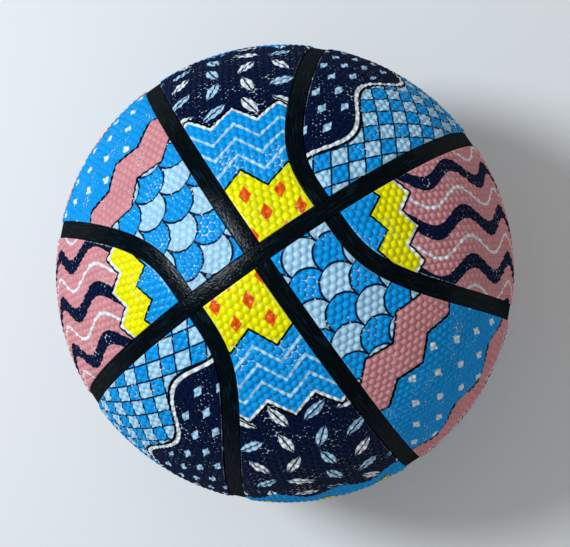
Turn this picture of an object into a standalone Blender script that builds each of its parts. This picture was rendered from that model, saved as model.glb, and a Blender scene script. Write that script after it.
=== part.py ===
"""Inflatable rubber basketball: wound bladder, panelled cover, seam strips and a replaceable valve plug.

Metres, +Z up, origin at the ball's centre. +Z passes through a crossing of the two great-circle seams,
the long seam lies in the XZ plane, the cross seam in the YZ plane, and the valve looks along +Y.
"""
import math

import bmesh
import bpy
import numpy as np

# Ball and cover
BALL_RADIUS = 0.120
PANEL_THICKNESS = 0.0018
CHANNEL_WIDTH = 0.0080
CHANNEL_DEPTH = 0.0010
SEAT_GAP = 0.0003

# Seam layout: where an oval seam crosses the long seam, how far it swings out at the ball's side, and
# how square its outline is (2 is an ellipse)
OVAL_END_ARC = 0.0383
OVAL_SIDE_ANGLE = math.radians(45)
OVAL_SQUARENESS = 3.4

# Layers under the cover, outside in
CARCASS_THICKNESS = 0.0007
WINDING_THICKNESS = 0.0005
BLADDER_THICKNESS = 0.0008

# Valve plug
PLUG_HEAD_DIAMETER = 0.0054
PLUG_HEAD_HEIGHT = 0.0022
PLUG_SHANK_DIAMETER = 0.0042
PLUG_LENGTH = 0.0175
PLUG_TIP_CHAMFER = 0.0006
PLUG_RECESS = 0.0018
PLUG_CLEARANCE = 0.0003
NEEDLE_HOLE_DIAMETER = 0.0019
NEEDLE_HOLE_DEPTH = 0.0130
NEEDLE_FUNNEL_DIAMETER = 0.0030
NEEDLE_FUNNEL_DEPTH = 0.0008

# Valve housing
NECK_WALL = 0.0030
FLANGE_WIDTH = 0.0090
FLANGE_THICKNESS = 0.0012
BARREL_WALL = 0.0022
BARREL_FLOOR = 0.0015
BARREL_TAPER = 0.0008
AIR_PASSAGE_DIAMETER = 0.0024

# Fineness of the round shapes
FACET_ANGLE = math.radians(7)
SHELL_ARC_STEPS = 16
TURN_STEPS = 32
OVAL_SAMPLES = 600
MERGE_DISTANCE = 0.00001

# Linear colour, roughness
NAVY_PRINT = ((0.006, 0.016, 0.060), 0.38)
BLUE_PRINT = ((0.016, 0.240, 0.730), 0.40)
SKY_PRINT = ((0.300, 0.520, 0.720), 0.42)
PINK_PRINT = ((0.540, 0.190, 0.220), 0.42)
SEAM_BLACK = ((0.006, 0.010, 0.012), 0.45)
CARCASS_BLACK = ((0.020, 0.020, 0.022), 0.65)
THREAD_WHITE = ((0.640, 0.620, 0.560), 0.80)
BLADDER_BLACK = ((0.012, 0.012, 0.013), 0.55)
VALVE_BLACK = ((0.016, 0.016, 0.017), 0.50)

# Each repeated cover piece is modelled once, on the right and at the back, and half turns about the
# ball's own axes bring it to the other three places
HALF_TURNS = {
    "right_back": (0, 0, 0),
    "right_front": (math.pi, 0, 0),
    "left_back": (0, math.pi, 0),
    "left_front": (0, 0, math.pi),
}

# Sizes that follow from the ones above
strip_outer = BALL_RADIUS - CHANNEL_DEPTH
strip_thickness = PANEL_THICKNESS - CHANNEL_DEPTH
facet_sag = BALL_RADIUS * (1 - math.cos(FACET_ANGLE / math.sqrt(2)))
carcass_outer = BALL_RADIUS - PANEL_THICKNESS - SEAT_GAP - facet_sag
winding_outer = carcass_outer - CARCASS_THICKNESS - SEAT_GAP
bladder_outer = winding_outer - WINDING_THICKNESS - SEAT_GAP
bladder_inner = bladder_outer - BLADDER_THICKNESS
strip_half = CHANNEL_WIDTH / 2 / BALL_RADIUS
panel_edge = (CHANNEL_WIDTH / 2 + SEAT_GAP) / BALL_RADIUS
mouth_radius = PLUG_HEAD_DIAMETER / 2 + PLUG_CLEARANCE
bore_radius = PLUG_SHANK_DIAMETER / 2 + PLUG_CLEARANCE
neck_radius = mouth_radius + NECK_WALL
plug_face = strip_outer - PLUG_RECESS
wall_hole_angle = math.asin((neck_radius + SEAT_GAP) / bladder_inner)


def clear_scene():
    """Remove every object that the scene starts with."""
    for scene_object in list(bpy.data.objects):
        bpy.data.objects.remove(scene_object)


def make_collection(name):
    """New collection, linked to the scene."""
    collection = bpy.data.collections.new(name)
    bpy.context.scene.collection.children.link(collection)
    return collection


def make_material(name, finish):
    """Principled material of one colour and roughness."""
    colour, roughness = finish
    material = bpy.data.materials.new(name)
    material.use_nodes = True
    shader = material.node_tree.nodes["Principled BSDF"]
    shader.inputs["Base Color"].default_value = (*colour, 1)
    shader.inputs["Roughness"].default_value = roughness
    shader.inputs["Metallic"].default_value = 0
    return material


def make_empty(name, collection, rotation=(0, 0, 0)):
    """Empty at the ball's centre."""
    empty = bpy.data.objects.new(name, None)
    empty.rotation_euler = rotation
    collection.objects.link(empty)
    return empty


def add_object(name, mesh, collection, parent, rotation=(0, 0, 0)):
    """Object of a mesh, under a parent at the ball's centre."""
    mesh_object = bpy.data.objects.new(name, mesh)
    mesh_object.parent = parent
    mesh_object.rotation_euler = rotation
    collection.objects.link(mesh_object)
    return mesh_object


def arc_count(angle):
    """Even number of facets along an arc."""
    return 2 * math.ceil(angle / FACET_ANGLE / 2)


def oval_points(turns, shift):
    """Unit vectors along the oval seam on the +X side, shifted outwards over the sphere.

    A turn of 0 is the middle of its back half, at +Y. Quarter turns up and down reach the long seam.
    """

    def centre_line(turn):
        across = np.abs(np.cos(turn)) / math.tan(OVAL_SIDE_ANGLE)
        along = np.abs(np.sin(turn)) * math.tan(OVAL_END_ARC / BALL_RADIUS)
        spread = (across**OVAL_SQUARENESS + along**OVAL_SQUARENESS) ** (-1 / OVAL_SQUARENESS)
        polar = np.arctan(spread)
        side = np.sin(polar)
        return np.stack([np.cos(polar), side * np.cos(turn), side * np.sin(turn)], axis=-1)

    step = 1e-5
    points = centre_line(turns)
    tangents = centre_line(turns + step) - centre_line(turns - step)
    tangents /= np.linalg.norm(tangents, axis=1, keepdims=True)
    outward = np.cross(tangents, points)
    return points * math.cos(shift) + outward * math.sin(shift)


def oval_edge(shift, count):
    """Evenly spaced points along the back half of the oval seam, shifted, from the lower end up.

    It stops where the panels do, at the long seam.
    """
    turns = np.linspace(-math.pi / 2, math.pi / 2, OVAL_SAMPLES)
    end = np.interp(-panel_edge, -oval_points(turns, shift)[OVAL_SAMPLES // 2:, 1], turns[OVAL_SAMPLES // 2:])
    turns = np.linspace(-end, end, OVAL_SAMPLES)
    steps = np.linalg.norm(np.diff(oval_points(turns, shift), axis=0), axis=1)
    travelled = np.concatenate([[0], np.cumsum(steps)])
    even = np.interp(np.linspace(0, travelled[-1], count + 1), travelled, turns)
    return oval_points(even, shift)


def cross_edge(offset, count):
    """Points along the back half of the cross seam, at a distance to its right, from the bottom up."""
    reach = math.sqrt(1 - offset**2)
    start = math.asin(panel_edge / reach)
    angles = np.linspace(start, math.pi - start, count + 1)
    return np.stack([np.full_like(angles, offset), reach * np.sin(angles), -reach * np.cos(angles)], axis=-1)


def long_edge(offset, start, end, count):
    """Points along the long seam, at a distance behind it, between two angles from the bottom."""
    reach = math.sqrt(1 - offset**2)
    angles = np.linspace(start, end, count + 1)
    return np.stack([reach * np.sin(angles), np.full_like(angles, offset), -reach * np.cos(angles)], axis=-1)


def sphere_patch(name, first_edge, second_edge, rows, radius, material):
    """Open patch of a sphere between two edges of as many points, smooth and facing out."""
    columns = len(first_edge) - 1
    mesh_builder = bmesh.new()
    bmesh.ops.create_grid(mesh_builder, x_segments=columns, y_segments=rows, size=1)
    for vertex in mesh_builder.verts:
        column = round((vertex.co.x + 1) / 2 * columns)
        share = (vertex.co.y + 1) / 2
        point = first_edge[column] * (1 - share) + second_edge[column] * share
        vertex.co = point / np.linalg.norm(point) * radius
    bmesh.ops.remove_doubles(mesh_builder, verts=mesh_builder.verts, dist=MERGE_DISTANCE)
    mesh_builder.normal_update()
    mesh_builder.faces.ensure_lookup_table()
    middle = mesh_builder.faces[len(mesh_builder.faces) // 2]
    if middle.normal.dot(middle.calc_center_median()) < 0:
        bmesh.ops.reverse_faces(mesh_builder, faces=mesh_builder.faces)
    mesh = bpy.data.meshes.new(name)
    mesh_builder.to_mesh(mesh)
    mesh_builder.free()
    mesh.shade_smooth()
    mesh.materials.append(material)
    return mesh


def thicken(shell, thickness):
    """Give an open surface its thickness, inwards."""
    solidify = shell.modifiers.new("thickness", "SOLIDIFY")
    solidify.thickness = thickness
    solidify.offset = -1
    solidify.use_even_offset = True


def turned_mesh(name, profile, material, closed):
    """Profile of (radius, height) points that runs down its outer side, in the XZ plane."""
    mesh = bpy.data.meshes.new(name)
    edges = [(index, index + 1) for index in range(len(profile) - 1)]
    if closed:
        edges.append((len(profile) - 1, 0))
    mesh.from_pydata([(radius, 0, height) for radius, height in profile], edges, [])
    mesh.materials.append(material)
    return mesh


def turn_round(piece):
    """Sweep a profile once round its own Z axis."""
    screw = piece.modifiers.new("turn", "SCREW")
    screw.axis = "Z"
    screw.angle = 2 * math.pi
    screw.steps = TURN_STEPS
    screw.render_steps = TURN_STEPS
    screw.use_merge_vertices = True
    screw.merge_threshold = MERGE_DISTANCE
    screw.use_smooth_shade = True


def shell_arc(radius):
    """Profile arc of a layer, from the edge of the valve hole down to the far side of the ball."""
    angles = np.linspace(wall_hole_angle, math.pi, SHELL_ARC_STEPS + 1)
    arc = [(radius * math.sin(angle), radius * math.cos(angle)) for angle in angles[:-1]]
    return [*arc, (0, -radius)]


def layer_profile(outer, thickness):
    """Profile of a hollow layer with a hole for the valve."""
    return [*reversed(shell_arc(outer - thickness)), *shell_arc(outer)]


def housing_profile():
    """Neck through the wall, flange under the bladder and barrel round the plug, as a closed outline."""
    under_bladder = shell_arc(bladder_inner)
    radii, heights = zip(*under_bladder[: SHELL_ARC_STEPS // 2])

    def seat_height(radius):
        return float(np.interp(radius, radii, heights)) - SEAT_GAP

    neck_top = math.sqrt(carcass_outer**2 - neck_radius**2)
    flange_radius = neck_radius + FLANGE_WIDTH
    flange_radii = [neck_radius, *[r for r in radii if neck_radius < r < flange_radius], flange_radius]
    barrel_radius = bore_radius + BARREL_WALL
    bore_bottom = plug_face - PLUG_LENGTH - SEAT_GAP
    barrel_end = bore_bottom - BARREL_FLOOR
    head_seat = plug_face - PLUG_HEAD_HEIGHT - SEAT_GAP
    passage_radius = AIR_PASSAGE_DIAMETER / 2
    return [
        (mouth_radius, neck_top),
        (neck_radius, neck_top),
        *[(radius, seat_height(radius)) for radius in flange_radii],
        (flange_radius, seat_height(flange_radius) - FLANGE_THICKNESS),
        (barrel_radius, seat_height(neck_radius) - FLANGE_THICKNESS),
        (barrel_radius - BARREL_TAPER, barrel_end),
        (passage_radius, barrel_end),
        (passage_radius, bore_bottom),
        (bore_radius, bore_bottom),
        (bore_radius, head_seat),
        (mouth_radius, head_seat),
    ]


def plug_profile():
    """Headed plug with a blind hole for the pump needle."""
    needle_radius = NEEDLE_HOLE_DIAMETER / 2
    head_radius = PLUG_HEAD_DIAMETER / 2
    shank_radius = PLUG_SHANK_DIAMETER / 2
    tip = plug_face - PLUG_LENGTH
    return [
        (0, plug_face - NEEDLE_HOLE_DEPTH),
        (needle_radius, plug_face - NEEDLE_HOLE_DEPTH),
        (needle_radius, plug_face - NEEDLE_FUNNEL_DEPTH),
        (NEEDLE_FUNNEL_DIAMETER / 2, plug_face),
        (head_radius, plug_face),
        (head_radius, plug_face - PLUG_HEAD_HEIGHT),
        (shank_radius, plug_face - PLUG_HEAD_HEIGHT),
        (shank_radius, tip + PLUG_TIP_CHAMFER),
        (shank_radius - PLUG_TIP_CHAMFER, tip),
        (0, tip),
    ]


def build_core(collection, parent):
    """Bladder, thread winding and carcass: nested layers with one hole, for the valve."""
    layers = {
        "bladder": (bladder_outer, BLADDER_THICKNESS, BLADDER_BLACK),
        "thread_winding": (winding_outer, WINDING_THICKNESS, THREAD_WHITE),
        "carcass": (carcass_outer, CARCASS_THICKNESS, CARCASS_BLACK),
    }
    for name, (outer, thickness, finish) in layers.items():
        material = make_material(f"{name}_material", finish)
        mesh = turned_mesh(name, layer_profile(outer, thickness), material, closed=False)
        turn_round(add_object(name, mesh, collection, parent))


def build_valve(collection, parent):
    """Valve housing in the ball's wall, and the plug that pushes into it."""
    rubber = make_material("valve_rubber", VALVE_BLACK)
    housing = turned_mesh("valve_housing", housing_profile(), rubber, closed=True)
    turn_round(add_object("valve_housing", housing, collection, parent))
    plug = turned_mesh("valve_plug", plug_profile(), rubber, closed=False)
    turn_round(add_object("valve_plug", plug, collection, parent))


def build_panels(collection, parent):
    """Four outer panels beside the cross seam, and four inner panels that halve the two ovals."""
    columns = arc_count(math.pi)
    rows = arc_count(OVAL_SIDE_ANGLE)
    navy = make_material("cover_navy", NAVY_PRINT)
    blue = make_material("cover_blue", BLUE_PRINT)
    sky = make_material("cover_sky", SKY_PRINT)
    pink = make_material("cover_pink", PINK_PRINT)
    outer = sphere_patch(
        "outer_panel", cross_edge(panel_edge, columns), oval_edge(panel_edge, columns), rows, BALL_RADIUS, navy
    )
    oval = oval_edge(-panel_edge, columns)
    corner = math.atan2(oval[0][0], -oval[0][2])
    straight = long_edge(panel_edge, corner, math.pi - corner, columns)
    inner = sphere_patch("inner_panel", straight, oval, rows, BALL_RADIUS, sky)
    second_print = {"outer": blue, "inner": pink}
    for kind, mesh in {"outer": outer, "inner": inner}.items():
        for place, rotation in HALF_TURNS.items():
            panel = add_object(f"{kind}_panel_{place}", mesh, collection, parent, rotation)
            thicken(panel, PANEL_THICKNESS)
            if place in ("right_front", "left_back"):
                panel.material_slots[0].link = "OBJECT"
                panel.material_slots[0].material = second_print[kind]


def build_strips(collection, cutters, parent, valve_axis):
    """Seam strips: one unbroken ring, and the cross and oval strips that butt against its sides."""
    black = make_material("seam_rubber", SEAM_BLACK)
    half_count = arc_count(math.pi)

    def strip_mesh(name, first_edge, second_edge):
        return sphere_patch(name, first_edge, second_edge, 1, strip_outer, black)

    ring_edges = [long_edge(side, 0, 2 * math.pi, 2 * half_count) for side in (strip_half, -strip_half)]
    ring = add_object("long_seam_strip", strip_mesh("long_seam_strip", *ring_edges), collection, parent)
    thicken(ring, strip_thickness)

    cross_edges = [cross_edge(side, half_count) for side in (strip_half, -strip_half)]
    cross = strip_mesh("cross_seam_strip", *cross_edges)
    front = add_object("cross_seam_strip_front", cross, collection, parent, (0, 0, math.pi))
    thicken(front, strip_thickness)
    back = add_object("cross_seam_strip_back", cross, collection, parent)
    thicken(back, strip_thickness)
    cut_valve_mouth(back, cutters, valve_axis)

    oval_edges = [oval_edge(side, half_count) for side in (-strip_half, strip_half)]
    oval = strip_mesh("oval_seam_strip", *oval_edges)
    for place, rotation in HALF_TURNS.items():
        strip = add_object(f"oval_seam_strip_{place}", oval, collection, parent, rotation)
        thicken(strip, strip_thickness)


def cut_valve_mouth(strip, cutters, valve_axis):
    """Round hole through the strip over the valve."""
    mesh_builder = bmesh.new()
    bmesh.ops.create_cone(
        mesh_builder, cap_ends=True, segments=TURN_STEPS,
        radius1=mouth_radius, radius2=mouth_radius, depth=PLUG_LENGTH,
    )
    mesh = bpy.data.meshes.new("valve_mouth_cutter")
    mesh_builder.to_mesh(mesh)
    mesh_builder.free()
    cutter = add_object("valve_mouth_cutter", mesh, cutters, valve_axis)
    cutter.location.z = strip_outer
    cutter.hide_render = True
    cutter.display_type = "WIRE"
    boolean = strip.modifiers.new("valve_mouth", "BOOLEAN")
    boolean.operation = "DIFFERENCE"
    boolean.object = cutter


def build():
    """Model the whole ball."""
    clear_scene()
    parts = make_collection("basketball")
    cutters = make_collection("cutters")
    ball = make_empty("ball_centre", parts)
    valve_axis = make_empty("valve_axis", parts, rotation=(-math.pi / 2, 0, 0))
    valve_axis.parent = ball
    build_core(parts, valve_axis)
    build_valve(parts, valve_axis)
    build_panels(parts, ball)
    build_strips(parts, cutters, ball, valve_axis)


build()
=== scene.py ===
"""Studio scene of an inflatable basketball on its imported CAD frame.

The cover panels get their moulded pebbles and printed pattern, the seam strips their rounded edges,
and the valve its plug. Lengths are metres, and pattern sizes are millimetres.
"""
import logging
import math
from dataclasses import dataclass
from enum import Enum
from functools import partial

import bmesh
import bpy
import numpy as np
from bpy.types import Material, Mesh, Node, NodeSocket, NodeTree, Object
from mathutils import Matrix, Vector


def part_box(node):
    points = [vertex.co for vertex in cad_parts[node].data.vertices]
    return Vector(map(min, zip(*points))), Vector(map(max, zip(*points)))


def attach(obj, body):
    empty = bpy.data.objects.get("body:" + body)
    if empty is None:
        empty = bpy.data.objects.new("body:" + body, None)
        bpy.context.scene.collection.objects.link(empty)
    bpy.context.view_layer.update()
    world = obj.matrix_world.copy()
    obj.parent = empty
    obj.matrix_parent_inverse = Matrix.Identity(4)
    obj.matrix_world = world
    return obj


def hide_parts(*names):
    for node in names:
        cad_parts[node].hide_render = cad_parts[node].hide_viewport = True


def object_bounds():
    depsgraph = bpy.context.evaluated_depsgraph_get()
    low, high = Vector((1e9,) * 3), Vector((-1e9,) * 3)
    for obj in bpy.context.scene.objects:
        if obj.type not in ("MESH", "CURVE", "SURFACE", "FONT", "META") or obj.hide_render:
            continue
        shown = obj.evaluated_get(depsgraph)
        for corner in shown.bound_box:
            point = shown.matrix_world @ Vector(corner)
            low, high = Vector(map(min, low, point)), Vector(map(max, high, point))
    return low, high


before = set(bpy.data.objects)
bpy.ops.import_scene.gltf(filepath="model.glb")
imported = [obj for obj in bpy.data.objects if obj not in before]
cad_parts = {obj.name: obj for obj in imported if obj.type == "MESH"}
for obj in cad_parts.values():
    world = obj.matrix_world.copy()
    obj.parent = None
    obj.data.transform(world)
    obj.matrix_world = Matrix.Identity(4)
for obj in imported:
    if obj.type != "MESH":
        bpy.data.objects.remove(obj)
CAD_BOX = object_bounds()
log = logging.getLogger("basketball")

MM = 0.001
PANEL_COORDINATES = "panel_mm"
PEBBLE_GRID = "pebble_grid"
STRIP_COORDINATES = "strip_mm"
EXPORT_MAP = "OFBake"

# Values between which nearly all of a noise texture lies
NOISE_SPREAD = (0.3, 0.7)

# Node types that come up often: noise takes a place, a scale and octaves, and range a value and its bounds
VECTOR = "ShaderNodeVectorMath"
NOISE = "ShaderNodeTexNoise"
RANGE = "ShaderNodeMapRange"
MIX = "ShaderNodeMix"
STORED = "GeometryNodeInputNamedAttribute"
STORE = "GeometryNodeStoreNamedAttribute"

# What a node's input takes, and a printed shape with its ink
Feed = Node | NodeSocket | float | str | tuple | None
Layer = tuple[Node | None, str]


def linear(hex_colour: str) -> tuple[float, float, float, float]:
    """Turn an sRGB hex colour such as "#0E2A58" into linear red, green and blue, with an alpha of 1."""
    shares = [int(hex_colour[start:start + 2], 16) / 255 for start in (1, 3, 5)]
    return (*[c / 12.92 if c <= 0.04045 else ((c + 0.055) / 1.055) ** 2.4 for c in shares], 1.0)


def add(
    tree: NodeTree,
    kind: str,
    *inputs: Feed,
    named: dict[str, Feed] | None = None,
    **settings: str | bool,
) -> Node:
    """Add a node with its settings, and set or link its inputs.

    Args:
        tree: Node tree that takes the node.
        kind: Node type, or in capitals the operation of a Math node.
        inputs: Values, sockets or nodes for the enabled inputs in order, with None to leave one alone.
        named: Values, sockets or nodes for inputs by name.
        settings: The node's properties.

    Returns:
        The new node.
    """
    if kind.isupper():
        kind, settings = "ShaderNodeMath", {"operation": kind, **settings}
    node = tree.nodes.new(kind)
    for name, value in settings.items():
        setattr(node, name, value)
    enabled = [socket for socket in node.inputs if socket.enabled]
    by_name = [(node.inputs[name], value) for name, value in (named or {}).items()]
    for socket, value in [*zip(enabled, inputs), *by_name]:
        if isinstance(value, Node):
            value = next(output for output in value.outputs if output.enabled)
        if isinstance(value, NodeSocket):
            tree.links.new(value, socket)
        elif value is not None:
            socket.default_value = value
    return node


def new_material(name: str) -> tuple[Material, NodeTree, Node]:
    """Start a material with one Principled shader.

    Args:
        name: Name of the real material.

    Returns:
        The material, its node tree and its shader.
    """
    material = bpy.data.materials.new(name)
    material.use_nodes = True
    tree = material.node_tree
    return material, tree, tree.nodes["Principled BSDF"]


def finish_shader(tree: NodeTree, shader: Node, maps: dict[str, Node], constants: dict[str, float]) -> None:
    """Link a shader's maps and set its plain values.

    Args:
        tree: Material's node tree.
        shader: The Principled shader.
        maps: Node for each input that changes over the surface.
        constants: Value of each input that is the same all over.
    """
    for name, node in maps.items():
        tree.links.new(next(output for output in node.outputs if output.enabled), shader.inputs[name])
    for name, value in constants.items():
        shader.inputs[name].default_value = value


def new_object(name: str, mesh: Mesh) -> Object:
    """Link a new object at the origin.

    Args:
        name: Name of the object.
        mesh: Its mesh.

    Returns:
        The object.
    """
    piece = bpy.data.objects.new(name, mesh)
    bpy.context.scene.collection.objects.link(piece)
    return piece


def dress_node(name: str, material: Material) -> None:
    """Give a CAD node that keeps its shape its material.

    Args:
        name: Name of the node.
        material: The material.
    """
    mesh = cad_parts[name].data
    mesh.materials.clear()
    mesh.materials.append(material)
    log.info("%s: keeps its CAD shape", name)


def set_plain_mesh(piece: Object) -> None:
    """Make a piece's evaluated shape its plain mesh, and drop its modifiers.

    Args:
        piece: Object that its modifiers shape.
    """
    graph = bpy.context.evaluated_depsgraph_get()
    shaped = bpy.data.meshes.new_from_object(piece.evaluated_get(graph), depsgraph=graph)
    shaped.name = piece.name
    piece.modifiers.clear()
    piece.data = shaped


def run_tree(piece: Object, tree: NodeTree, values: dict[str, object]) -> None:
    """Run a Geometry Nodes tree on a piece and keep its result as a plain mesh.

    Args:
        piece: Object that the tree shapes.
        tree: The tree.
        values: Value of each named input.
    """
    modifier = piece.modifiers.new(tree.name, "NODES")
    modifier.node_group = tree
    for socket in tree.interface.items_tree:
        if socket.in_out == "INPUT" and socket.name in values:
            modifier[socket.identifier] = values[socket.name]
    set_plain_mesh(piece)


def new_tree(name: str, sizes: dict[str, str]) -> tuple[NodeTree, Node]:
    """Start a Geometry Nodes tree with named inputs.

    Args:
        name: Name of the tree.
        sizes: Socket type of each input after the geometry.

    Returns:
        The tree and its input node.
    """
    tree = bpy.data.node_groups.new(name, "GeometryNodeTree")
    tree.interface.new_socket("Geometry", in_out="INPUT", socket_type="NodeSocketGeometry")
    for size, socket_type in sizes.items():
        tree.interface.new_socket(size, in_out="INPUT", socket_type=socket_type)
    tree.interface.new_socket("Geometry", in_out="OUTPUT", socket_type="NodeSocketGeometry")
    return tree, add(tree, "NodeGroupInput")


def turned_mesh(name: str, profile: list[tuple[float, float]], steps: int) -> Mesh:
    """Turn a profile round the valve's axis, +Y.

    Args:
        name: Name of the mesh.
        profile: Points as distance from the axis and place along it, with both ends on the axis.
        steps: Number of steps round.

    Returns:
        Closed mesh that faces out.
    """
    builder = bmesh.new()
    line = [builder.verts.new((radius, height, 0)) for radius, height in profile]
    edges = [builder.edges.new(pair) for pair in zip(line, line[1:])]
    bmesh.ops.spin(
        builder, geom=[*line, *edges], cent=(0, 0, 0), axis=(0, 1, 0), dvec=(0, 0, 0),
        angle=math.tau, steps=steps, use_merge=True, use_normal_flip=False, use_duplicate=False,
    )
    bmesh.ops.remove_doubles(builder, verts=builder.verts, dist=0.001 * MM)
    bmesh.ops.recalc_face_normals(builder, faces=builder.faces)
    mesh = bpy.data.meshes.new(name)
    builder.to_mesh(mesh)
    builder.free()
    return mesh


def distances_along(points: np.ndarray) -> np.ndarray:
    """Distance along a line of points, one to a row, from its start to each."""
    steps = np.linalg.norm(np.diff(points, axis=0), axis=1)
    return np.concatenate([[0], np.cumsum(steps)])


def points_at(points: np.ndarray, distances: np.ndarray, chosen: np.ndarray) -> np.ndarray:
    """Points at chosen distances along a line, given the distance at each of its own points."""
    return np.stack([np.interp(chosen, distances, points[:, axis]) for axis in range(3)], axis=-1)


@dataclass(frozen=True)
class Pebbles:
    """The moulded pebbles: round bumps on a staggered grid, with a narrow flat ground between them.

    Lengths are millimetres, looseness is a share of the pitch, and variety is the range of the radius.
    """

    pitch: float = 3.9
    radius: float = 1.76
    height: float = 0.62
    looseness: float = 0.08
    variety: float = 0.1
    roundness: float = 2.3

    def reach(self, tree: NodeTree, spot: Feed, looseness: Feed) -> Node:
        """Distance from the middle of the nearest pebble.

        Args:
            tree: Geometry or material tree.
            spot: Place on the grid, in pitches.
            looseness: How far pebbles stray from the grid, as a number or a socket.

        Returns:
            Node that gives the distance in pitches.
        """
        node = partial(add, tree)
        row = math.sqrt(3)
        flat, middle = (1.0, 1.0, 0.0), (-0.5, -0.5, 0.0)
        nearest = []
        for half in (0.0, 0.5):
            grid = node(VECTOR, spot, (1.0, 1 / row, 0.0), (half, half, 0.0), operation="MULTIPLY_ADD")
            cell = node(VECTOR, grid, operation="FLOOR")
            tag = node(VECTOR, cell, (0.0, 0.0, 1.0 + half), operation="ADD")
            chance = node("ShaderNodeTexWhiteNoise", tag, noise_dimensions="3D").outputs
            stray = node(VECTOR, chance["Color"], flat, middle, operation="MULTIPLY_ADD")
            stray = node(VECTOR, stray, named={"Scale": looseness}, operation="SCALE")
            inside = node(VECTOR, node(VECTOR, grid, cell, operation="SUBTRACT"), middle, operation="ADD")
            apart = node(VECTOR, inside, (1.0, row, 0.0), stray, operation="MULTIPLY_ADD")
            size = node("MULTIPLY_ADD", chance["Value"], self.variety, 1 - self.variety / 2)
            nearest.append(node("MULTIPLY", node(VECTOR, apart, operation="LENGTH"), size))
        return node("MINIMUM", *nearest)

    def dome(self, tree: NodeTree, share: Feed) -> Node:
        """Height of a pebble, 1 at its top and 0 on the ground, from the share of its radius."""
        fallen = add(tree, "POWER", add(tree, "MINIMUM", share, 1.0), self.roundness)
        return add(tree, "SUBTRACT", 1.0, fallen)


class Place(Enum):
    """Where a repeated cover piece sits, and the axis of the half turn that takes it there."""

    RIGHT_BACK = ""
    RIGHT_FRONT = "X"
    LEFT_BACK = "Y"
    LEFT_FRONT = "Z"

    @property
    def turn(self) -> Matrix:
        """Half turn from the right back place to this one."""
        return Matrix.Rotation(math.pi, 4, self.value) if self.value else Matrix.Identity(4)


class PanelKind(Enum):
    """The two panel shapes, with the bearing of the line down each one's middle."""

    OUTER = math.radians(67.5)
    INNER = math.radians(22.5)


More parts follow.
